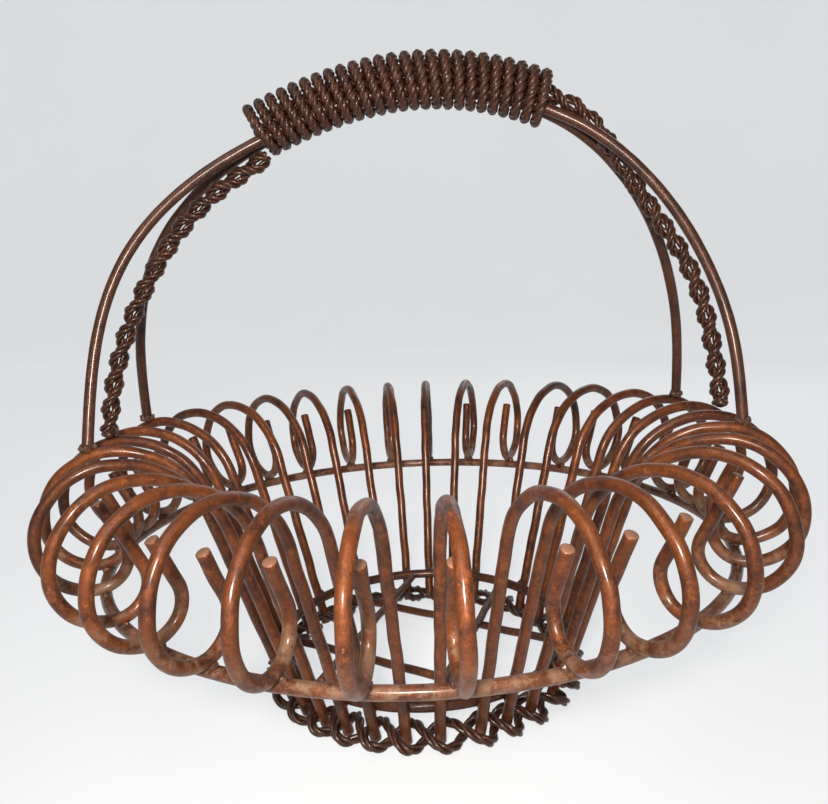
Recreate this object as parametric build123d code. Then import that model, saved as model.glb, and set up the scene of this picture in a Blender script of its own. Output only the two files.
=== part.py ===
from build123d import *
import math
import os

# Wire fruit basket: round iron wire bent, twined and welded into one rigid piece.
# Millimetres, +Z up, origin on the ground at the centre of the foot.
# +X runs from the left end of the handle to the right end, -Y is the front.

GAP = 0.02  # hair gap left where two wires are welded side by side

# --- wires ---------------------------------------------------------------
WIRE_D = 6.0
FLOOR_WIRE_D = 5.0
TWINE_D = 5.4
ROPE_STRAND_D = 5.4
WRAP_D = 5.8

# --- heights -------------------------------------------------------------
HOOP_Z = 83.0
HOOP_R = 175.0
BASE_RING_Z = HOOP_Z - 61.0
TWINE_Z = HOOP_Z - 76.6

# --- scroll rib, bent in its own upright plane ------------------------------
CREST_R = 168.0
CREST_Z = HOOP_Z + 67.0
LEG_LEAN = 18.0  # degrees the leg leans out from upright
CREST_IN_R = 48.0  # bend radius from the leg up to the crest
CREST_OUT_R = 35.5  # bend radius from the crest over to the outer side
LOW_OUT_R = 25.65  # bend radius from the outer side down to the hoop
CURL_R = 15.0  # bend radius of the curl back up
CURL_ANGLE = 115.0
TAIL_L = 24.0
LEG_END_Z = 3.2
# Direction of each rib around the basket, as spaced by hand.
RIB_AZIMUTHS = [
    -175, -165.3, -153, -140, -129, -119, -108.2, -97.5,
    -86, -72.2, -62, -51.5, -38, -27, -16, -5,
    6, 16, 27.5, 39.6, 50.3, 64.5, 76, 86.5,
    97, 108, 120.5, 131, 142, 153, 165.2, 175,
]
# Turn of each rib out of its radial plane, in degrees about its foot.
RIB_TWISTS = [0.0, 0.3, -0.4, 0.2]

# --- foot twine: two strands crossing between the ribs -----------------------
TWINE_SWING_R = 7.8
TWINE_SWING_Z = 3.7
TWINE_PHASE = 60.0
TWINE_STEPS = 4  # shaping points from rib to rib
TWINE_END_GAP = 0.03  # gap left where the two ends meet, as a share of a rib space

# --- floor: a 2 x 2 grid of straight wires ------------------------------------
LOWER_FLOOR_ANGLE = -30.0
LOWER_FLOOR_OFFSETS = (-38.0, 28.0)
UPPER_FLOOR_ANGLE = 70.0
UPPER_FLOOR_OFFSETS = (-30.0, 34.0)

# --- handle ---------------------------------------------------------------
# Stations along the arch: x, height above the hoop, half spread of the two rods.
ARCH = [
    (-173.0, 69.6, 44.5),
    (-171.5, 94.0, 39.0),
    (-165.0, 135.0, 30.0),
    (-151.0, 169.0, 22.0),
    (-125.0, 199.5, 13.0),
    (-100.0, 217.5, 7.0),
    (-78.0, 229.0, 3.9),
    (-44.0, 242.6, 3.3),
    (0.0, 251.9, 3.3),
    (34.0, 251.2, 3.3),
    (78.0, 239.5, 3.9),
    (96.0, 230.5, 6.6),
    (118.0, 213.5, 12.0),
    (138.0, 190.0, 19.0),
    (157.0, 154.0, 30.0),
    (168.0, 113.0, 41.0),
    (171.0, 69.6, 48.5),
]
GRIP_X = (-78.0, 78.0)
GRIP_RISE = 5.2  # grip axis above the rods
GRIP_HALF_W = 12.2
GRIP_HALF_H = 12.5
GRIP_TURNS = 25
# Stations of each rope: x along the arch, height of its axis over the rods, and y.
GRIP_ROPE = [
    (-72.0, 8.3, 0.0),
    (-44.0, 8.3, 0.0),
    (0.0, 8.3, 0.0),
    (40.0, 8.3, 0.0),
    (78.0, 8.3, 0.0),
    (96.0, 7.4, 0.0),
    (107.0, 4.4, 0.0),
    (118.0, 0.5, 0.0),
    (138.0, -4.0, -2.0),
    (157.0, -1.5, -7.0),
    (168.0, 0.0, -12.0),
    (170.8, 2.0, -16.0),
]
SIDE_ROPE = [
    (-85.5, -9.2, 0.0),
    (-100.0, -9.4, 0.0),
    (-125.0, -10.0, -1.0),
    (-151.0, -11.0, -4.0),
    (-165.0, -8.0, -9.0),
    (-171.5, -2.0, -14.0),
    (-172.8, 0.0, -16.0),
]
ROPE_HELIX_R = 2.9
ROPE_PITCH = 28.0
WRAP_STEPS = 12
ROPE_STEPS = 12


def polar(radius, azimuth, z):
    angle = math.radians(azimuth)
    return Vector(radius * math.cos(angle), radius * math.sin(angle), z)


def round_sweep(path, diameter, is_frenet=False):
    """A round wire of this diameter along a path."""
    section = Plane(origin=path @ 0, z_dir=path % 0) * Circle(diameter / 2)
    return sweep(section, path=path, is_frenet=is_frenet)


def round_sweep_in_lengths(path, diameter, count):
    """One round wire along a long path, swept in equal lengths and joined."""
    edges = [path.trim(index / count, (index + 1) / count) for index in range(count)]
    lengths = [round_sweep(edge, diameter) for edge in edges]
    return lengths[0].fuse(*lengths[1:]).solids()[0]


def rib_path(azimuth, twist):
    """Foot to tail: leg, crest, outer side, bottom on the hoop, curl, tail."""
    plane = Plane(
        origin=(0, 0, 0),
        x_dir=polar(1, azimuth, 0),
        z_dir=polar(1, azimuth - 90, 0),
    )
    lean = math.radians(LEG_LEAN)
    inner = (CREST_R, CREST_Z - CREST_IN_R)
    leg_top = (
        inner[0] - CREST_IN_R * math.cos(lean),
        inner[1] + CREST_IN_R * math.sin(lean),
    )
    leg_drop = leg_top[1] - LEG_END_Z
    leg_foot = (leg_top[0] - leg_drop * math.tan(lean), LEG_END_Z)
    outer = (CREST_R, CREST_Z - CREST_OUT_R)
    low = (CREST_R + CREST_OUT_R - LOW_OUT_R, outer[1])
    bottom_z = low[1] - LOW_OUT_R
    curl = (low[0], bottom_z + CURL_R)
    turn = math.radians(270 - CURL_ANGLE)
    tail_start = (curl[0] + CURL_R * math.cos(turn), curl[1] + CURL_R * math.sin(turn))
    rise = math.radians(180 - CURL_ANGLE)
    tail_end = (
        tail_start[0] + TAIL_L * math.cos(rise),
        tail_start[1] + TAIL_L * math.sin(rise),
    )
    edges = [
        Line(leg_foot, leg_top),
        CenterArc(inner, CREST_IN_R, 180 - LEG_LEAN, LEG_LEAN - 90),
        CenterArc(outer, CREST_OUT_R, 90, -90),
        CenterArc(low, LOW_OUT_R, 0, -90),
        CenterArc(curl, CURL_R, 270, -CURL_ANGLE),
        Line(tail_start, tail_end),
    ]
    wire = Wire([plane.from_local_coords(edge) for edge in edges])
    pivot = polar(leg_radius(TWINE_Z), azimuth, TWINE_Z)
    return wire.rotate(Axis(pivot, (0, 0, 1)), twist)


def rib(azimuth, twist):
    return round_sweep(rib_path(azimuth, twist), WIRE_D)


def ring(radius, z, diameter):
    return Pos(0, 0, z) * Torus(radius, diameter / 2)


def leg_radius(z):
    """Radius of a rib leg's centre line at a height below the bends."""
    lean = math.radians(LEG_LEAN)
    top_r = CREST_R - CREST_IN_R * math.cos(lean)
    top_z = CREST_Z - CREST_IN_R + CREST_IN_R * math.sin(lean)
    return top_r - (top_z - z) * math.tan(lean)


def twine_point(position, start_phase):
    """Centre of a foot strand, its position counted in ribs around the basket."""
    count = len(RIB_AZIMUTHS)
    index = int(position) % count
    share = position - int(position)
    width = (RIB_AZIMUTHS[(index + 1) % count] - RIB_AZIMUTHS[index]) % 360
    phase = math.pi * position + math.radians(start_phase)
    dz = -TWINE_SWING_Z * math.cos(phase - math.radians(TWINE_PHASE))
    dr = TWINE_SWING_R * math.cos(phase)
    azimuth = RIB_AZIMUTHS[index] + share * width
    return polar(leg_radius(TWINE_Z) + dr, azimuth, TWINE_Z + dz)


def twine(start_phase):
    """One foot strand, outside every second rib and inside the ones between."""
    steps = TWINE_STEPS * len(RIB_AZIMUTHS)
    positions = [step / TWINE_STEPS for step in range(steps)]
    positions.append(len(RIB_AZIMUTHS) - TWINE_END_GAP)
    path = Spline([twine_point(position, start_phase) for position in positions])
    return round_sweep_in_lengths(path, TWINE_D, 4)


def floor_wire(angle, offset, z, reach):
    """A straight chord of the foot, offset sideways from its centre."""
    half = math.sqrt(reach**2 - (abs(offset) + FLOOR_WIRE_D / 2) ** 2)
    bar = Cylinder(FLOOR_WIRE_D / 2, 2 * half, rotation=(0, 90, 0))
    return Rot(0, 0, angle) * Pos(0, offset, z) * bar


ARCH_CURVE = Spline([Vector(x, spread, HOOP_Z + z) for x, z, spread in ARCH])


def rod(side):
    """A handle rod, front (-1) or back (+1)."""
    points = [Vector(x, side * spread, HOOP_Z + z) for x, z, spread in ARCH]
    return round_sweep(Spline(points), WIRE_D)


def arch_frame(share):
    """Point of the arch on the middle plane and the direction pointing out of it."""
    here = ARCH_CURVE @ share
    ahead = ARCH_CURVE % share
    forward = Vector(ahead.X, 0, ahead.Z).normalized()
    outward = Vector(-forward.Z, 0, forward.X)
    return Vector(here.X, 0, here.Z), outward


def share_at_x(x):
    """Share of the arch curve at which it passes this x."""
    low, high = 0.0, 1.0
    for _ in range(40):
        middle = (low + high) / 2
        if (ARCH_CURVE @ middle).X < x:
            low = middle
        else:
            high = middle
    return (low + high) / 2


def rope_axis(stations):
    """Axis of a rope, through stations set off from the arch."""
    points = []
    for x, rise, y in stations:
        centre, outward = arch_frame(share_at_x(x))
        points.append(centre + outward * rise + Vector(0, y, 0))
    return Spline(points)


def rope_strand(stations, start_phase):
    """One of the two strands twisted around each other along a rope's axis."""
    axis = rope_axis(stations)
    turns = axis.length / ROPE_PITCH
    count = round(turns * ROPE_STEPS)
    points = []
    for index in range(count + 1):
        share = index / count
        ahead = axis % share
        outward = Vector(-ahead.Z, 0, ahead.X).normalized()
        angle = math.radians(start_phase) + 2 * math.pi * turns * share
        side = Vector(0, 1, 0) * math.cos(angle)
        points.append(axis @ share + (side + outward * math.sin(angle)) * ROPE_HELIX_R)
    return round_sweep(Spline(points), ROPE_STRAND_D)


def grip_wrap():
    """Wire wound side by side around the rods and the rope."""
    start = share_at_x(GRIP_X[0])
    end = share_at_x(GRIP_X[1])
    count = GRIP_TURNS * WRAP_STEPS
    points = []
    for index in range(count + 1):
        share = start + (end - start) * index / count
        centre, outward = arch_frame(share)
        angle = 2 * math.pi * index / WRAP_STEPS
        cosine, sine = math.cos(angle), math.sin(angle)
        side = Vector(0, 1, 0) * (GRIP_HALF_W * cosine)
        up = outward * (GRIP_RISE + GRIP_HALF_H * sine)
        points.append(centre + side + up)
    return round_sweep(Spline(points), WRAP_D, is_frenet=True)


def build():
    parts = {}
    for index, azimuth in enumerate(RIB_AZIMUTHS):
        twist = RIB_TWISTS[index % len(RIB_TWISTS)]
        parts[f"rib_{index + 1:02d}"] = rib(azimuth, twist)
    parts["rim_hoop"] = ring(HOOP_R, HOOP_Z, WIRE_D)
    clear = (WIRE_D + GAP) / math.cos(math.radians(LEG_LEAN))
    ring_r = leg_radius(BASE_RING_Z) - clear
    parts["base_ring"] = ring(ring_r, BASE_RING_Z, WIRE_D)
    parts["foot_twine_a"] = twine(0)
    parts["foot_twine_b"] = twine(180)
    lower_z = BASE_RING_Z - (WIRE_D + FLOOR_WIRE_D) / 2 - GAP
    for index, offset in enumerate(LOWER_FLOOR_OFFSETS):
        wire = floor_wire(LOWER_FLOOR_ANGLE, offset, lower_z, ring_r - 0.5)
        parts[f"floor_wire_{index + 1}"] = wire
    upper_z = lower_z + FLOOR_WIRE_D + GAP
    for index, offset in enumerate(UPPER_FLOOR_OFFSETS):
        wire = floor_wire(UPPER_FLOOR_ANGLE, offset, upper_z, ring_r - WIRE_D / 2 - GAP)
        parts[f"floor_wire_{index + 3}"] = wire
    parts["handle_rod_front"] = rod(-1)
    parts["handle_rod_back"] = rod(1)
    parts["handle_rope_a"] = rope_strand(GRIP_ROPE, 0)
    parts["handle_rope_b"] = rope_strand(GRIP_ROPE, 180)
    parts["side_rope_a"] = rope_strand(SIDE_ROPE, 0)
    parts["side_rope_b"] = rope_strand(SIDE_ROPE, 180)
    parts["grip_wrap"] = grip_wrap()
    return parts


os.makedirs("parts", exist_ok=True)
for name, shape in build().items():
    export_step(shape, f"parts/{name}.step")
    print(name, [round(v, 1) for v in shape.bounding_box().size])
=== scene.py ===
import math
import random

import bpy
import numpy as np
from mathutils import Matrix, Vector


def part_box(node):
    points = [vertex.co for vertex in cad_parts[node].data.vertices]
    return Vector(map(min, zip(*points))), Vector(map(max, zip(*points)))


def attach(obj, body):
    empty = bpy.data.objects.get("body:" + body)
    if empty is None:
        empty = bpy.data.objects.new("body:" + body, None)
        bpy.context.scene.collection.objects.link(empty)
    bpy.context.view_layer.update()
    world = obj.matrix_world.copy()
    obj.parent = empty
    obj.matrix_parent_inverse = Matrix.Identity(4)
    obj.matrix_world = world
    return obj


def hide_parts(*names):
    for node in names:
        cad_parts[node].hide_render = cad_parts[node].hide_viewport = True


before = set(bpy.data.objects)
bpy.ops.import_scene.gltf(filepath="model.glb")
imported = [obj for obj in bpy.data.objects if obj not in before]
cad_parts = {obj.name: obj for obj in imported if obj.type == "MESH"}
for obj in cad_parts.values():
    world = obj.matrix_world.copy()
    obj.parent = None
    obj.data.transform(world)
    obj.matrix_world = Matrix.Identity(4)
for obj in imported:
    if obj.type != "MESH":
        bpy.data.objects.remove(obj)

# Wire fruit basket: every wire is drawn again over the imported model, in metres.
MM = 0.001
TURN = 2 * math.pi
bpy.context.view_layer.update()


def box_of(node):
    low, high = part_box(node)
    return np.array(low), np.array(high)


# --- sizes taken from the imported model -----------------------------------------
hoop_low, hoop_high = box_of("rim_hoop")
WIRE_R = (hoop_high[2] - hoop_low[2]) / 2
HOOP_R = (hoop_high[0] - hoop_low[0]) / 2 - WIRE_R
HOOP_Z = (hoop_high[2] + hoop_low[2]) / 2
ring_low, ring_high = box_of("base_ring")
RING_R = (ring_high[0] - ring_low[0]) / 2 - WIRE_R
RING_Z = (ring_high[2] + ring_low[2]) / 2
RIBS = sorted(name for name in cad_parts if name.startswith("rib_"))

# --- how finely the wires are cut into rings and points ---------------------------
WIRE_SIDES = 24
FLOOR_SIDES = 20
PLY_SIDES = 10
CORE_SIDES = 8
HOOP_STEPS = 900
RING_STEPS = 420
FLOOR_STEPS = 90
ROD_STEPS = 700
ARCH_STEPS = 2400
ROPE_STEPS = 1200
TWINE_STEPS = 1500
WRAP_STEPS = 2500

# --- unevenness of handmade wire ----------------------------------------------------
BEND_WAVER = 0.12 * MM
WAVER_LENGTH = 35 * MM
WIRE_DENTS = 0.03
PLY_DENTS = 0.05
DENT_WAVES = 4
DENT_PACE = (60, 420)
DENT_LOBES = 4
SEAM_FADE_STEPS = 12

# --- sawn ends, as shares of the wire's radius ----------------------------------------
BEVEL_INSET = 0.86
BEVEL_OUT = 0.1
TIP_OUT = 0.12

# --- shape of a scroll rib, in its own upright plane -----------------------------
CREST_R = 168 * MM
CREST_Z = HOOP_Z + 67 * MM
LEG_LEAN = math.radians(18.0)
CREST_IN_R = 48 * MM
CREST_OUT_R = 35.5 * MM
LOW_OUT_R = 25.65 * MM
CURL_R = 15 * MM
CURL_ANGLE = math.radians(115)
TAIL_L = 24 * MM
LEG_END_Z = 3.2 * MM
RIB_TWISTS = [0.0, 0.3, -0.4, 0.2]
LEG_STEPS = 60
CREST_IN_STEPS = 40
CREST_OUT_STEPS = 34
CURL_STEPS = 28
TAIL_STEPS = 14

# --- floor wires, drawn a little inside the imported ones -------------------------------
FLOOR_END_GAP = 0.3 * MM
FLOOR_SKIN = 0.1 * MM

# --- foot twine: two strands, each of three finer wires ------------------------------
TWINE_Z = HOOP_Z - 76.6 * MM
TWINE_SWING_R = 7.8 * MM
TWINE_SWING_Z = 3.7 * MM
TWINE_PHASE = math.radians(60)
TWINE_STEPS_PER_GAP = 14
TWINE_LAY_R = 1.32 * MM
TWINE_LAY_PITCH = 26 * MM
STRAND_PLIES = 3
STRAND_PLY_R = 1.3 * MM

# --- handle: x, height over the hoop and half spread of the rods, in mm -----------------
ARCH = [
    (-173.0, 69.6, 44.5),
    (-171.5, 94.0, 39.0),
    (-165.0, 135.0, 30.0),
    (-151.0, 169.0, 22.0),
    (-125.0, 199.5, 13.0),
    (-100.0, 217.5, 7.0),
    (-78.0, 229.0, 3.9),
    (-44.0, 242.6, 3.3),
    (0.0, 251.9, 3.3),
    (34.0, 251.2, 3.3),
    (78.0, 239.5, 3.9),
    (96.0, 230.5, 6.6),
    (118.0, 213.5, 12.0),
    (138.0, 190.0, 19.0),
    (157.0, 154.0, 30.0),
    (168.0, 113.0, 41.0),
    (171.0, 69.6, 48.5),
]

# --- grip: three fine wires over a core, wound around the rods and the rope -------------
GRIP_X = (-78 * MM, 78 * MM)
GRIP_RISE = 5.2 * MM
GRIP_HALF_W = 12.2 * MM
GRIP_HALF_H = 12.5 * MM
GRIP_TURNS = 25
STEPS_PER_TURN = 60
WRAP_CORE_R = 2.3 * MM
WRAP_PLIES = 3
WRAP_PLY_R = 1.4 * MM
WRAP_LAY_R = 1.6 * MM
WRAP_LAY_PITCH = 13 * MM

# --- ropes: x along the arch, height of the axis over the rods, and y, in mm ------------
GRIP_ROPE = [
    (-72.0, 8.3, 0.0),
    (-44.0, 8.3, 0.0),
    (0.0, 8.3, 0.0),
    (40.0, 8.3, 0.0),
    (78.0, 8.3, 0.0),
    (96.0, 7.4, 0.0),
    (107.0, 4.4, 0.0),
    (118.0, 0.5, 0.0),
    (138.0, -4.0, -2.0),
    (157.0, -1.5, -7.0),
    (168.0, 0.0, -12.0),
    (170.8, 2.0, -16.0),
]
SIDE_ROPE = [
    (-79.0, -8.0, 0.0),
    (-85.5, -9.0, 0.0),
    (-100.0, -9.4, 0.0),
    (-125.0, -10.0, -1.0),
    (-151.0, -11.0, -4.0),
    (-165.0, -8.0, -9.0),
    (-171.5, -2.0, -14.0),
    (-172.8, 0.0, -16.0),
]
ROPE_HELIX_R = 2.9 * MM
ROPE_PITCH = 28 * MM
ROPE_LAY_R = 1.35 * MM
ROPE_LAY_PITCH = 17 * MM

# --- weld beads ---------------------------------------------------------------------
BEAD_ROWS = 9
BEAD_SIDES = 14
BEAD_LUMPS = 0.18
RIM_WELD = np.array((2.6, 1.9, 1.7)) * MM
RIM_WELD_OUT = 0.6 * MM
RIM_WELD_RISE = 2.6 * MM
RIM_WELD_TURN = 0.011
RING_WELD = np.array((2.7, 2.1, 2.0)) * MM
RING_WELD_OUT = 3.0 * MM
RING_WELD_RISE = 1.8 * MM
ROPE_WELD = np.array((4.6, 4.2, 3.4)) * MM
ROPE_WELD_DROP = 1.0 * MM
ROD_WELD = np.array((2.6, 2.4, 2.2)) * MM
ROD_WELD_REACH = 2.3 * MM
ROD_WELD_RISE = 0.4 * MM
ROD_WELD_START = 0.4
ROD_WELD_COUNT = 4

# --- colours of the iron: dark, warm and bright patches ------------------------------
RIB_IRON = ((0.028, 0.0065, 0.0018), (0.125, 0.031, 0.005), (0.29, 0.08, 0.012))
HOOP_IRON = ((0.04, 0.011, 0.0045), (0.11, 0.032, 0.01), (0.25, 0.09, 0.035))
BASE_IRON = ((0.022, 0.0065, 0.0025), (0.085, 0.025, 0.006), (0.19, 0.06, 0.014))
ROD_IRON = ((0.024, 0.0085, 0.0045), (0.065, 0.021, 0.009), (0.13, 0.046, 0.022))
FINE_IRON = ((0.024, 0.0085, 0.0045), (0.065, 0.021, 0.009), (0.13, 0.05, 0.026))
TWINE_IRON = ((0.022, 0.008, 0.004), (0.05, 0.017, 0.008), (0.11, 0.044, 0.022))
WELD_IRON = ((0.05, 0.02, 0.01), (0.1, 0.045, 0.024), (0.22, 0.13, 0.08))
DUST = (0.2, 0.115, 0.07)
SAWN_IRON = (0.24, 0.12, 0.07)

# --- patches of rust and dust, and how much of its colour each one lays on -----------
BLOTCHES = {"scale": 60, "detail": 8, "roughness": 0.8, "distortion": 0.3, "low": 0.34, "high": 0.6}
BLOOM = {"scale": 260, "detail": 8, "roughness": 0.8, "low": 0.5, "high": 0.68}
SPECKS = {"scale": 900, "detail": 3, "roughness": 0.8, "low": 0.6, "high": 0.7}
PITS = {"scale": 700, "detail": 4, "roughness": 0.75, "low": 0.62, "high": 0.7}
DUST_PATCHES = {"scale": 85, "detail": 7, "roughness": 0.75, "distortion": 0.3, "low": 0.43, "high": 0.6}
BLOOM_SHARE = 0.6
TONE_SHARE = 0.4
SPECK_SHARE = 0.65
PIT_SHARE = 0.5
SAWN_SHARE = 0.85
DUST_ROUGHNESS = 0.3
SCALE_DEPTH = 0.6 * MM
GRAIN_DEPTH = 0.4 * MM
# Dust is full below the first height over the hoop and outside the last radius.
DUST_FULL_RISE = 2 * MM
DUST_NONE_RISE = 35 * MM
DUST_NONE_R = 135 * MM
DUST_FULL_R = 150 * MM

# --- studio -------------------------------------------------------------------------
PAPER = (0.775, 0.79, 0.805)
PAPER_SHADE = 0.985
PAPER_DIM = 0.68
PAPER_GLOW = 0.78
WORLD_GREY = 0.88
WORLD_STRENGTH = 0.26
SWEEP_FRONT_Y = -3.0
SWEEP_FLAT_Y = 2.2
SWEEP_BEND_R = 1.2
SWEEP_TOP_Z = 5.0
SWEEP_HALF_W = 6.0
# Each lamp: name, place, target, size, watts, colour and spread in degrees.
LAMPS = [
    ("key_softbox", (-0.03, -0.5, 0.305), (0, 0, 0.12), (0.07, 0.06), 2.1, (1, 0.93, 0.85), 110),
    ("top_softbox", (-0.3, -0.5, 1.1), (0, 0, 0.15), (0.7, 0.6), 4, (1, 1, 1), 180),
    ("back_softbox", (0.5, 1.1, 0.9), (0, 0, 0.15), (0.8, 0.8), 3, (1, 1, 1), 180),
]

# --- camera: degrees, and the lens in mm for a 36 mm sensor -------------------------------
CAMERA_AT = (0.5 * MM, -421.7 * MM, HOOP_Z + 146.7 * MM)
CAMERA_DOWN = 9.03
CAMERA_YAW = 0.063
CAMERA_ROLL = -2.535
CAMERA_LENS = 31.72
CAMERA_SENSOR = 36
CAMERA_CLIP = (0.01, 50)


# ====================================================================== curves
def polar(radius, azimuth, z):
    return np.array([radius * math.cos(azimuth), radius * math.sin(azimuth), z])


def lengths(vectors):
    return np.linalg.norm(vectors, axis=1)[:, None]


def distance_along(line):
    """How far each point is along the line from its first point."""
    return np.r_[0, np.cumsum(np.linalg.norm(np.diff(line, axis=0), axis=1))]


def sample(wanted, known, values):
    """Points read off between known places along a line."""
    return np.stack([np.interp(wanted, known, values[:, axis]) for axis in range(3)], 1)


def respace(curve, count):
    """The same curve as count + 1 points equally spaced along it."""
    run = distance_along(curve)
    return sample(np.linspace(0, run[-1], count + 1), run, curve)


def arc(centre, radius, start, sweep, steps):
    """Points of an arc in a plane, without its first point."""
    angles = start + sweep * np.arange(1, steps + 1) / steps
    return [(centre[0] + radius * math.cos(a), centre[1] + radius * math.sin(a)) for a in angles]


def knot_bends(points, gaps):
    """Second derivatives at the points of a natural cubic spline."""
    size = len(points)
    matrix = np.zeros((size, size))
    right = np.zeros_like(points)
    matrix[0, 0] = matrix[-1, -1] = 1
    for i in range(1, size - 1):
        matrix[i, i - 1 : i + 2] = gaps[i - 1], 2 * (gaps[i - 1] + gaps[i]), gaps[i]
        slope_after = (points[i + 1] - points[i]) / gaps[i]
        slope_before = (points[i] - points[i - 1]) / gaps[i - 1]
        right[i] = 6 * (slope_after - slope_before)
    return np.linalg.solve(matrix, right)


def cubic(points, count):
    """A fair curve through the points, as count + 1 points equally spaced along it."""
    points = np.asarray(points, float)
    knots = distance_along(points)
    gaps = np.diff(knots)
    bend = knot_bends(points, gaps)
    at = np.linspace(0, knots[-1], max(2000, 4 * count))
    span = np.clip(np.searchsorted(knots, at, side="right") - 1, 0, len(points) - 2)
    width = gaps[span][:, None]
    ahead = (knots[span + 1] - at)[:, None]
    behind = (at - knots[span])[:, None]
    curve = (bend[span] * ahead**3 + bend[span + 1] * behind**3) / (6 * width)
    curve += (points[span] / width - bend[span] * width / 6) * ahead
    curve += (points[span + 1] / width - bend[span + 1] * width / 6) * behind
    return respace(curve, count)


def frames(line, closed=False):
    """Tangent and two cross directions at each point, turning as little as possible."""
    if closed:
        tangent = np.roll(line, -1, 0) - np.roll(line, 1, 0)
    else:
        tangent = np.gradient(line, axis=0)
    tangent /= lengths(tangent)
    side = np.zeros_like(line)
    first = np.cross(tangent[0], (0.0, 0.0, 1.0))
    if np.linalg.norm(first) < 0.1:
        first = np.cross(tangent[0], (1.0, 0.0, 0.0))
    side[0] = first / np.linalg.norm(first)
    for i in range(1, len(line)):
        kept = side[i - 1] - tangent[i] * np.dot(side[i - 1], tangent[i])
        side[i] = kept / np.linalg.norm(kept)
    return tangent, side, np.cross(tangent, side)


def plies(line, count, lay_r, pitch, phase=0.0):
    """Finer wires laid around a centre line, as one line each."""
    _, side, up = frames(line)
    run = distance_along(line)
    made = []
    for ply in range(count):
        angle = TURN * (run / pitch + ply / count) + phase
        offset = side * np.cos(angle)[:, None] + up * np.sin(angle)[:, None]
        made.append(line + lay_r * offset)
    return made


def waver(line, seed):
    """The slow unevenness of a wire bent by hand."""
    rng = np.random.default_rng(seed)
    run = distance_along(line)
    offset = np.zeros_like(line)
    for wave in (1.0, 0.55):
        shift = rng.uniform(0, TURN, 3)
        angle = run[:, None] * TURN / (WAVER_LENGTH * wave) + shift
        offset += np.sin(angle) * BEND_WAVER * wave
    return line + offset


# ====================================================================== meshes
def grid_faces(gaps, sides, rings):
    """Quads over a tube's surface, for this many gaps between its rings."""
    faces = []
    for i in range(gaps):
        n = (i + 1) % rings
        for j in range(sides):
            k = (j + 1) % sides
            faces.append([i * sides + j, i * sides + k, n * sides + k, n * sides + j])
    return faces


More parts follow.
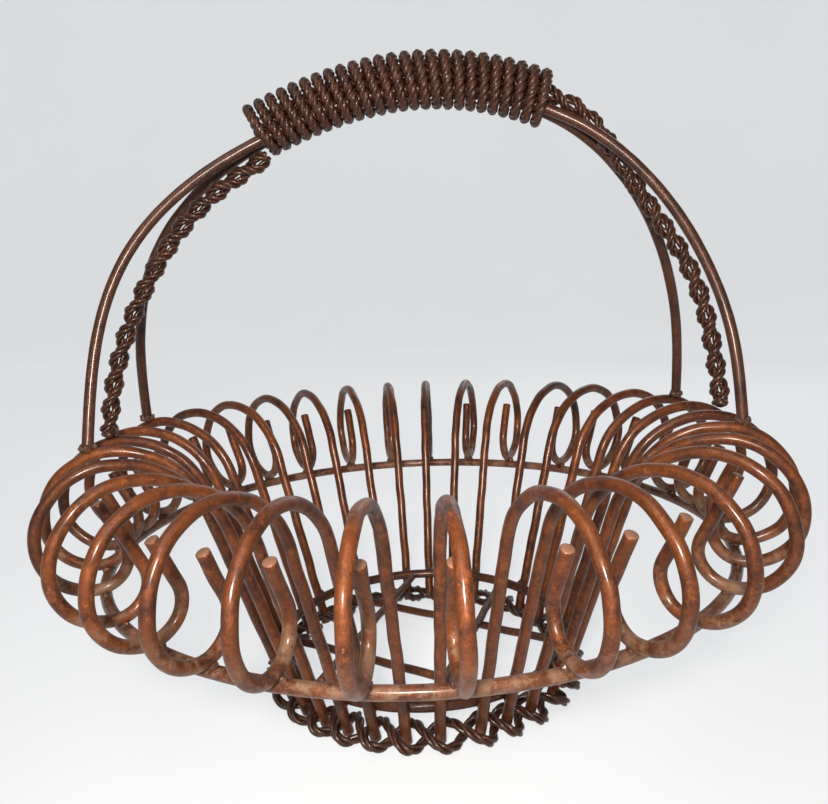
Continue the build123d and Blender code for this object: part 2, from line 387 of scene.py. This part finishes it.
class Tubes:
    """Collects round wires and weld beads into one mesh."""

    def __init__(self, name, seed=0):
        self.name = name
        self.rng = np.random.default_rng(seed)
        self.points, self.faces, self.cut = [], [], []

    def _add(self, points, faces, cut):
        start = sum(len(block) for block in self.points)
        self.points.append(np.asarray(points))
        self.faces += [[start + corner for corner in face] for face in faces]
        self.cut += list(cut)

    def _swell(self, run, turn, dents, closed):
        """How much wider or narrower the wire is at each point of its surface."""
        count = len(run)
        swell = np.ones((count, len(turn)))
        for _ in range(DENT_WAVES):
            pace = self.rng.uniform(*DENT_PACE)
            lobes = self.rng.integers(0, DENT_LOBES)
            shift = self.rng.uniform(0, TURN)
            wave = np.sin(run[:, None] * pace + lobes * turn[None, :] + shift)
            swell += dents / DENT_WAVES * wave
        if closed:
            from_seam = np.minimum(np.arange(count), count - np.arange(count))
            fade = np.clip(from_seam / SEAM_FADE_STEPS, 0, 1)
            swell = 1 + (swell - 1) * fade[:, None]
        return swell

    def wire(self, line, radius, sides=WIRE_SIDES, closed=False, dents=WIRE_DENTS):
        """One round wire with slight dents and, if open, flat cut ends."""
        tangent, side, up = frames(line, closed)
        count = len(line)
        turn = np.linspace(0, TURN, sides, endpoint=False)
        swell = self._swell(distance_along(line), turn, dents, closed)
        cosine, sine = np.cos(turn)[None, :, None], np.sin(turn)[None, :, None]
        out = side[:, None] * cosine + up[:, None] * sine
        points = (line[:, None] + out * radius * swell[..., None]).reshape(-1, 3)
        faces = grid_faces(count if closed else count - 1, sides, count)
        cut = np.zeros(len(points))
        if not closed:
            for index, direction in ((0, -1), (count - 1, 1)):
                outward = tangent[index] * direction * radius
                end, end_faces = self._cap(points, index * sides, sides, line[index], outward)
                faces += end_faces if direction > 0 else [face[::-1] for face in end_faces]
                points = np.vstack([points, end])
                cut = np.r_[cut, np.ones(len(end))]
        self._add(points, faces, cut)

    @staticmethod
    def _cap(points, first, sides, middle, outward):
        """A flat sawn end with a small bevel: its new points and faces."""
        start = len(points)
        ring = points[first : first + sides]
        bevel = middle + (ring - middle) * BEVEL_INSET + outward * BEVEL_OUT
        faces = []
        for j in range(sides):
            k = (j + 1) % sides
            faces.append([first + j, first + k, start + k, start + j])
            faces.append([start + j, start + k, start + sides])
        return np.vstack([bevel, [middle + outward * TIP_OUT]]), faces

    def bead(self, centre, size, axis=(0, 0, 1)):
        """A lump of weld metal."""
        axis = np.asarray(axis, float) / np.linalg.norm(axis)
        helper = np.array((1.0, 0, 0)) if abs(axis[0]) < 0.8 else np.array((0, 1.0, 0))
        side = np.cross(axis, helper)
        side /= np.linalg.norm(side)
        up = np.cross(axis, side)
        points = []
        # The fourth draw is spare: it keeps the beads that follow as they are.
        *waves, _ = self.rng.uniform(0, TURN, 4)
        for i in range(BEAD_ROWS + 1):
            tilt = math.pi * i / BEAD_ROWS
            for j in range(BEAD_SIDES):
                turn = TURN * j / BEAD_SIDES
                lump = 1 + BEAD_LUMPS * math.sin(3 * turn + waves[0]) * math.sin(2 * tilt + waves[1])
                lump += BEAD_LUMPS * 0.6 * math.sin(5 * tilt + waves[2])
                place = side * math.sin(tilt) * math.cos(turn) * size[0]
                place = place + up * math.sin(tilt) * math.sin(turn) * size[1]
                place = place + axis * math.cos(tilt) * size[2]
                points.append(centre + place * lump)
        faces = grid_faces(BEAD_ROWS, BEAD_SIDES, BEAD_ROWS + 1)
        faces = [[face[0], *face[:0:-1]] for face in faces]
        self._add(points, faces, np.zeros(len(points)))

    def finish(self, material, nodes=(), tone=0.5):
        """Makes the piece from its wires. Tone, 0 to 1, says how dark its iron is."""
        mesh = bpy.data.meshes.new(self.name)
        mesh.from_pydata(np.vstack(self.points).tolist(), [], self.faces)
        for label, values in (("cut", self.cut), ("tone", [tone] * len(self.cut))):
            layer = mesh.attributes.new(label, "FLOAT", "POINT")
            layer.data.foreach_set("value", np.asarray(values, np.float32))
        for polygon in mesh.polygons:
            polygon.use_smooth = True
        mesh.update()
        piece = bpy.data.objects.new(self.name, mesh)
        bpy.context.scene.collection.objects.link(piece)
        mesh.materials.append(material)
        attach(piece, "root")
        if nodes:
            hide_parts(*nodes)


# ==================================================================== materials
def scaled(colour, share):
    return tuple(share * part for part in colour)


class Shader:
    """Short names for building a node tree."""

    def __init__(self, name):
        self.material = bpy.data.materials.new(name)
        self.material.use_nodes = True
        self.tree = self.material.node_tree
        self.surface = self.tree.nodes["Principled BSDF"]
        self.where = self.tree.nodes.new("ShaderNodeTexCoord").outputs["Object"]

    def link(self, source, target):
        self.tree.links.new(source, target)

    def attribute(self, name):
        node = self.tree.nodes.new("ShaderNodeAttribute")
        node.attribute_name = name
        return node.outputs["Fac"]

    def noise(self, scale, detail, roughness=0.6, distortion=0.0):
        node = self.tree.nodes.new("ShaderNodeTexNoise")
        node.inputs["Scale"].default_value = scale
        node.inputs["Detail"].default_value = detail
        node.inputs["Roughness"].default_value = roughness
        node.inputs["Distortion"].default_value = distortion
        self.link(self.where, node.inputs["Vector"])
        return node.outputs["Fac"]

    def ramp(self, value, low, high, start=0.0, end=1.0):
        node = self.tree.nodes.new("ShaderNodeMapRange")
        node.interpolation_type = "SMOOTHSTEP"
        node.inputs["From Min"].default_value = low
        node.inputs["From Max"].default_value = high
        node.inputs["To Min"].default_value = start
        node.inputs["To Max"].default_value = end
        self.link(value, node.inputs["Value"])
        return node.outputs["Result"]

    def patches(self, scale, detail, roughness, low, high, distortion=0.0):
        """A mask of uneven patches: 0 where the noise is low and 1 where it is high."""
        return self.ramp(self.noise(scale, detail, roughness, distortion), low, high)

    def maths(self, operation, first, second):
        node = self.tree.nodes.new("ShaderNodeMath")
        node.operation = operation
        for socket, value in zip(node.inputs, (first, second)):
            if isinstance(value, (int, float)):
                socket.default_value = value
            else:
                self.link(value, socket)
        return node.outputs["Value"]

    def times(self, first, second):
        return self.maths("MULTIPLY", first, second)

    def mix(self, factor, first, second):
        node = self.tree.nodes.new("ShaderNodeMix")
        node.data_type = "RGBA"
        sockets = (node.inputs[0], node.inputs[6], node.inputs[7])
        for socket, value in zip(sockets, (factor, first, second)):
            if isinstance(value, (int, float)):
                socket.default_value = value
            elif isinstance(value, tuple):
                socket.default_value = (*value, 1.0)
            else:
                self.link(value, socket)
        return node.outputs[2]

    def bump(self, height, strength, distance, normal=None):
        node = self.tree.nodes.new("ShaderNodeBump")
        node.inputs["Strength"].default_value = strength
        node.inputs["Distance"].default_value = distance
        self.link(height, node.inputs["Height"])
        if normal is not None:
            self.link(normal, node.inputs["Normal"])
        return node.outputs["Normal"]


def iron_colour(s, dark, warm, bright):
    """Blotches of rust, with a brighter bloom, dark specks and worn pits."""
    colour = s.mix(s.patches(**BLOTCHES), dark, warm)
    colour = s.mix(s.times(s.patches(**BLOOM), BLOOM_SHARE), colour, bright)
    tone = s.ramp(s.attribute("tone"), 0.0, 1.0, 0.0, TONE_SHARE)
    colour = s.mix(tone, colour, scaled(dark, 0.5))
    colour = s.mix(s.times(s.patches(**SPECKS), SPECK_SHARE), colour, scaled(dark, 0.2))
    worn = tuple(min(1, 1.5 * part + 0.05) for part in bright)
    return s.mix(s.times(s.patches(**PITS), PIT_SHARE), colour, worn)


def dust_on_scrolls(s, strength):
    """Pale dust in patches, low on the scrolls outside the basket."""
    place = s.tree.nodes.new("ShaderNodeSeparateXYZ")
    s.link(s.where, place.inputs["Vector"])
    low = s.ramp(place.outputs["Z"], HOOP_Z + DUST_FULL_RISE, HOOP_Z + DUST_NONE_RISE, 1.0, 0.0)
    across = s.maths("POWER", place.outputs["X"], 2.0)
    reach = s.maths("ADD", across, s.maths("POWER", place.outputs["Y"], 2.0))
    outside = s.ramp(reach, DUST_NONE_R**2, DUST_FULL_R**2)
    return s.times(s.times(s.times(low, outside), s.patches(**DUST_PATCHES)), strength)


def rusted_iron(name, colours, dusty=0.0, rough=0.42, grain=1.0):
    """Varnished rusty iron with a rough surface, dust and pale sawn ends."""
    s = Shader(name)
    colour = iron_colour(s, *colours)
    roughness = s.ramp(s.noise(210, 6, 0.7), 0.3, 0.75, rough - 0.1, rough + 0.22)
    if dusty > 0:
        dust = dust_on_scrolls(s, dusty)
        colour = s.mix(dust, colour, DUST)
        roughness = s.maths("ADD", roughness, s.times(dust, DUST_ROUGHNESS))
    colour = s.mix(s.times(s.attribute("cut"), SAWN_SHARE), colour, SAWN_IRON)
    s.link(colour, s.surface.inputs["Base Color"])
    s.link(roughness, s.surface.inputs["Roughness"])
    s.surface.inputs["Metallic"].default_value = 0.4
    s.surface.inputs["Specular IOR Level"].default_value = 0.25
    s.surface.inputs["Coat Weight"].default_value = 0.28
    s.surface.inputs["Coat Roughness"].default_value = 0.2
    scale = s.bump(s.noise(300, 8, 0.7), 0.6 * grain, SCALE_DEPTH)
    fine = s.bump(s.noise(1100, 5, 0.7), 0.8 * grain, GRAIN_DEPTH, scale)
    s.link(fine, s.surface.inputs["Normal"])
    return s.material


def pale_paper(name):
    s = Shader(name)
    tint = s.mix(s.ramp(s.noise(2.0, 2), 0.3, 0.7), PAPER, scaled(PAPER, PAPER_SHADE))
    s.link(s.mix(PAPER_DIM, tint, (0.0, 0.0, 0.0)), s.surface.inputs["Base Color"])
    s.link(tint, s.surface.inputs["Emission Color"])
    s.surface.inputs["Roughness"].default_value = 0.9
    s.surface.inputs["Specular IOR Level"].default_value = 0.1
    s.surface.inputs["Emission Strength"].default_value = PAPER_GLOW
    return s.material


# ======================================================================= pieces
def rib_profile():
    """Leg, crest, outer side, bottom on the hoop, curl and tail, as radius and height."""
    inner = (CREST_R, CREST_Z - CREST_IN_R)
    top = np.array((inner[0] - CREST_IN_R * math.cos(LEG_LEAN), inner[1] + CREST_IN_R * math.sin(LEG_LEAN)))
    foot = np.array((top[0] - (top[1] - LEG_END_Z) * math.tan(LEG_LEAN), LEG_END_Z))
    outer = (CREST_R, CREST_Z - CREST_OUT_R)
    low = (CREST_R + CREST_OUT_R - LOW_OUT_R, outer[1])
    curl = (low[0], low[1] - LOW_OUT_R + CURL_R)
    flat = [tuple(foot + (top - foot) * i / LEG_STEPS) for i in range(LEG_STEPS + 1)]
    flat += arc(inner, CREST_IN_R, math.pi - LEG_LEAN, LEG_LEAN - math.pi / 2, CREST_IN_STEPS)
    flat += arc(outer, CREST_OUT_R, math.pi / 2, -math.pi / 2, CREST_OUT_STEPS)
    flat += arc(low, LOW_OUT_R, 0, -math.pi / 2, CURL_STEPS)
    flat += arc(curl, CURL_R, -math.pi / 2, -CURL_ANGLE, CURL_STEPS)
    start = np.array(flat[-1])
    rise = math.pi - CURL_ANGLE
    ahead = np.array((math.cos(rise), math.sin(rise)))
    flat += [tuple(start + TAIL_L * i / TAIL_STEPS * ahead) for i in range(1, TAIL_STEPS + 1)]
    return flat


def rib_line(azimuth, twist):
    """One scroll's centre line, twisted in degrees about its leg where the twine holds it."""
    line = np.array([polar(r, azimuth, z) for r, z in rib_profile()])
    pivot = polar(leg_radius(TWINE_Z), azimuth, 0)
    turn = math.radians(twist)
    cosine, sine = math.cos(turn), math.sin(turn)
    spin = np.array([[cosine, -sine, 0], [sine, cosine, 0], [0, 0, 1]])
    return (line - pivot) @ spin.T + pivot


def leg_radius(z):
    """How far the legs are from the basket's axis at this height."""
    top_r = CREST_R - CREST_IN_R * math.cos(LEG_LEAN)
    top_z = CREST_Z - CREST_IN_R + CREST_IN_R * math.sin(LEG_LEAN)
    return top_r - (top_z - z) * math.tan(LEG_LEAN)


def azimuth_of(node):
    low, high = box_of(node)
    return math.atan2(low[1] + high[1], low[0] + high[0])


def ring_line(radius, z, steps):
    return np.array([polar(radius, TURN * i / steps, z) for i in range(steps)])


def add_ribs(material):
    for index, node in enumerate(RIBS):
        tubes = Tubes(f"scroll_{node}", seed=index)
        line = rib_line(azimuth_of(node), RIB_TWISTS[index % len(RIB_TWISTS)])
        tubes.wire(waver(line, index), WIRE_R)
        tone = random.Random(index).uniform(0, 1)
        tubes.finish(material, nodes=[node], tone=tone)


def add_rings(hoop_material, base_material):
    hoop = Tubes("hoop_wire", seed=40)
    hoop.wire(ring_line(HOOP_R, HOOP_Z, HOOP_STEPS), WIRE_R, closed=True)
    hoop.finish(hoop_material, nodes=["rim_hoop"], tone=0.3)
    ring = Tubes("base_ring_wire", seed=41)
    ring.wire(ring_line(RING_R, RING_Z, RING_STEPS), WIRE_R, closed=True)
    ring.finish(base_material, nodes=["base_ring"])


def add_rim_welds(material):
    """Two beads where each scroll touches the hoop."""
    welds = Tubes("rim_welds", seed=42)
    for node in RIBS:
        azimuth = azimuth_of(node)
        along_hoop = polar(1, azimuth + math.pi / 2, 0)
        for side in (-1, 1):
            turned = azimuth + side * RIM_WELD_TURN
            centre = polar(HOOP_R + RIM_WELD_OUT, turned, HOOP_Z + RIM_WELD_RISE)
            welds.bead(centre, RIM_WELD, axis=along_hoop)
    welds.finish(material, tone=0.2)


def add_ring_welds(material):
    """Welds between the base ring and the legs, above and below the ring."""
    welds = Tubes("ring_welds", seed=44)
    for node in RIBS:
        for side in (-1, 1):
            height = RING_Z + side * RING_WELD_RISE
            welds.bead(polar(RING_R + RING_WELD_OUT, azimuth_of(node), height), RING_WELD)
    welds.finish(material, tone=0.6)


def add_floor(material):
    """The four straight wires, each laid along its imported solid."""
    for index in range(1, 5):
        node = f"floor_wire_{index}"
        low, high = box_of(node)
        vertices = np.array([v.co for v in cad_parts[node].data.vertices])
        middle = vertices.mean(0)
        middle[2] = (low[2] + high[2]) / 2
        spread = vertices[:, :2] - middle[:2]
        direction = np.linalg.svd(spread, full_matrices=False)[2][0]
        reach = np.abs(spread @ direction).max() - FLOOR_END_GAP
        direction = np.append(direction, 0)
        line = np.array([middle + direction * reach * t for t in np.linspace(-1, 1, FLOOR_STEPS)])
        radius = (high[2] - low[2]) / 2 - FLOOR_SKIN
        tubes = Tubes(f"floor_bar_{index}", seed=50 + index)
        tubes.wire(waver(line, 60 + index), radius, sides=FLOOR_SIDES)
        tubes.finish(material, nodes=[node], tone=0.3)


def twine_line(start_phase):
    """A strand that passes the legs on alternate sides."""
    azimuths = [azimuth_of(node) for node in RIBS]
    line = []
    for index, azimuth in enumerate(azimuths):
        width = (azimuths[(index + 1) % len(azimuths)] - azimuth) % TURN
        for step in range(TWINE_STEPS_PER_GAP):
            share = step / TWINE_STEPS_PER_GAP
            phase = math.pi * (index + share) + start_phase
            dz = -TWINE_SWING_Z * math.cos(phase - TWINE_PHASE)
            radius = leg_radius(TWINE_Z) + TWINE_SWING_R * math.cos(phase)
            line.append(polar(radius, azimuth + share * width, TWINE_Z + dz))
    return np.array(line)


def add_twine(material):
    """Two foot strands, each of three finer wires."""
    for node, phase in (("foot_twine_a", 0), ("foot_twine_b", math.pi)):
        tubes = Tubes(f"{node}_wires", seed=70)
        line = respace(twine_line(phase), TWINE_STEPS)
        for ply in plies(line, STRAND_PLIES, TWINE_LAY_R, TWINE_LAY_PITCH, phase):
            tubes.wire(ply, STRAND_PLY_R, sides=PLY_SIDES, dents=PLY_DENTS)
        tubes.finish(material, nodes=[node])


def arch_points(side):
    return np.array([(x, side * spread, z) for x, z, spread in ARCH]) * MM + (0, 0, HOOP_Z)


def add_rods(material):
    for node, side in (("handle_rod_front", -1), ("handle_rod_back", 1)):
        tubes = Tubes(f"{node}_wire", seed=80 + side)
        tubes.wire(cubic(arch_points(side), ROD_STEPS), WIRE_R)
        tubes.finish(material, nodes=[node], tone=0.2)


def outward_of(ahead):
    """Directions square to a line that runs ahead, in the arch's plane and out of it."""
    outward = np.stack([-ahead[:, 2], np.zeros(len(ahead)), ahead[:, 0]], 1)
    return outward / lengths(outward)


def middle_arch():
    """Points of the arch on the middle plane and directions pointing out of it."""
    curve = cubic(arch_points(1), ARCH_STEPS)
    curve[:, 1] = 0
    return curve, outward_of(np.gradient(curve, axis=0))


def rope_axis(stations):
    """The centre line of a rope through its stations along the arch."""
    curve, outward = middle_arch()
    places = np.array(stations) * MM
    on_arch = sample(places[:, 0], curve[:, 0], curve)
    out = sample(places[:, 0], curve[:, 0], outward)
    points = on_arch + out * places[:, 1:2]
    points[:, 1] += places[:, 2]
    return cubic(points, ROPE_STEPS)


def add_rope(material):
    """Two ropes of two strands twisted together, each strand of three finer wires."""
    for name, stations in (("handle_rope", GRIP_ROPE), ("side_rope", SIDE_ROPE)):
        axis = rope_axis(stations)
        out = outward_of(np.gradient(axis, axis=0))
        run = distance_along(axis)
        for letter, phase in (("a", 0), ("b", math.pi)):
            angle = (phase + TURN * run / ROPE_PITCH)[:, None]
            line = axis + ROPE_HELIX_R * (np.array((0, 1.0, 0)) * np.cos(angle) + out * np.sin(angle))
            tubes = Tubes(f"{name}_{letter}_wires", seed=90)
            for ply in plies(line, STRAND_PLIES, ROPE_LAY_R, ROPE_LAY_PITCH, phase):
                tubes.wire(ply, STRAND_PLY_R, sides=PLY_SIDES, dents=PLY_DENTS)
            tubes.finish(material, nodes=[f"{name}_{letter}"])
        weld = Tubes(f"{name}_foot_weld", seed=45)
        weld.bead(axis[-1] - (0, 0, ROPE_WELD_DROP), ROPE_WELD)
        weld.finish(material)


def add_wrap(material):
    """Three fine wires over a core, wound around the rods and the rope."""
    curve, outward = middle_arch()
    shares = np.linspace(0, 1, len(curve))
    start, end = np.interp(GRIP_X, curve[:, 0], shares)
    count = GRIP_TURNS * STEPS_PER_TURN
    at = np.linspace(start, end, count + 1)
    angle = np.arange(count + 1) * TURN / STEPS_PER_TURN
    rise = GRIP_RISE + GRIP_HALF_H * np.sin(angle)
    line = sample(at, shares, curve) + sample(at, shares, outward) * rise[:, None]
    line[:, 1] += GRIP_HALF_W * np.cos(angle)
    line = respace(line, WRAP_STEPS)
    tubes = Tubes("grip_wrap_wires", seed=95)
    tubes.wire(line, WRAP_CORE_R, sides=CORE_SIDES)
    for ply in plies(line, WRAP_PLIES, WRAP_LAY_R, WRAP_LAY_PITCH):
        tubes.wire(ply, WRAP_PLY_R, sides=PLY_SIDES, dents=PLY_DENTS)
    tubes.finish(material, nodes=["grip_wrap"])


def add_handle_welds(material):
    """Weld metal around the four feet of the rods."""
    welds = Tubes("handle_welds", seed=43)
    for side in (-1, 1):
        points = arch_points(side)
        for foot in (points[0], points[-1]):
            for turn in range(ROD_WELD_COUNT):
                angle = turn * TURN / ROD_WELD_COUNT + ROD_WELD_START
                centre = foot + polar(ROD_WELD_REACH, angle, ROD_WELD_RISE)
                welds.bead(centre, ROD_WELD)
    welds.finish(material, tone=0.2)


# ======================================================================== studio
def stage(piece):
    bpy.context.scene.collection.objects.link(piece)


def add_sweep():
    """Pale floor that curves up into a backdrop."""
    profile = [(SWEEP_FRONT_Y, 0.0), (SWEEP_FLAT_Y, 0.0)]
    for a in np.linspace(0.05, math.pi / 2, 24):
        profile.append((SWEEP_FLAT_Y + SWEEP_BEND_R * math.sin(a), SWEEP_BEND_R * (1 - math.cos(a))))
    profile.append((SWEEP_FLAT_Y + SWEEP_BEND_R, SWEEP_TOP_Z))
    points = [(x, y, z) for y, z in profile for x in (-SWEEP_HALF_W, SWEEP_HALF_W)]
    faces = [[2 * i, 2 * i + 1, 2 * i + 3, 2 * i + 2] for i in range(len(profile) - 1)]
    mesh = bpy.data.meshes.new("studio_sweep")
    mesh.from_pydata(points, [], faces)
    for polygon in mesh.polygons:
        polygon.use_smooth = True
    mesh.materials.append(pale_paper("pale_paper"))
    stage(bpy.data.objects.new("studio_sweep", mesh))


def add_lamp(name, at, target, size, power, colour, spread):
    data = bpy.data.lights.new(name, "AREA")
    data.shape = "RECTANGLE"
    data.size, data.size_y = size
    data.energy = power
    data.color = colour
    data.spread = math.radians(spread)
    light = bpy.data.objects.new(name, data)
    light.location = at
    light.rotation_mode = "QUATERNION"
    light.rotation_quaternion = (Vector(target) - Vector(at)).to_track_quat("-Z", "Y")
    stage(light)


def add_world():
    world = bpy.data.worlds.new("studio")
    world.use_nodes = True
    background = world.node_tree.nodes["Background"]
    background.inputs["Color"].default_value = (WORLD_GREY, WORLD_GREY, WORLD_GREY, 1)
    background.inputs["Strength"].default_value = WORLD_STRENGTH
    bpy.context.scene.world = world


def add_camera():
    data = bpy.data.cameras.new("camera")
    data.lens = CAMERA_LENS
    data.sensor_width = CAMERA_SENSOR
    data.clip_start, data.clip_end = CAMERA_CLIP
    camera = bpy.data.objects.new("camera", data)
    bpy.context.scene.collection.objects.link(camera)
    camera.location = CAMERA_AT
    camera.rotation_mode = "XYZ"
    look = Matrix.Rotation(math.radians(CAMERA_YAW), 3, "Z")
    look = look @ Matrix.Rotation(math.radians(90 - CAMERA_DOWN), 3, "X")
    look = look @ Matrix.Rotation(math.radians(CAMERA_ROLL), 3, "Z")
    camera.rotation_euler = look.to_euler()
    bpy.context.scene.camera = camera
    bpy.context.scene.view_settings.view_transform = "Standard"


def build():
    base = rusted_iron("base_iron", BASE_IRON)
    fine = rusted_iron("fine_wire_iron", FINE_IRON, rough=0.3)
    weld = rusted_iron("weld_iron", WELD_IRON, grain=2.0)
    add_ribs(rusted_iron("scroll_iron", RIB_IRON, dusty=0.8))
    add_rings(rusted_iron("hoop_iron", HOOP_IRON, dusty=0.75), base)
    add_rim_welds(weld)
    add_ring_welds(weld)
    add_floor(base)
    add_twine(rusted_iron("twine_iron", TWINE_IRON, rough=0.34))
    add_rods(rusted_iron("handle_iron", ROD_IRON, rough=0.34))
    add_rope(fine)
    add_wrap(fine)
    add_handle_welds(weld)
    add_sweep()
    add_world()
    for lamp in LAMPS:
        add_lamp(*lamp)
    add_camera()


build()
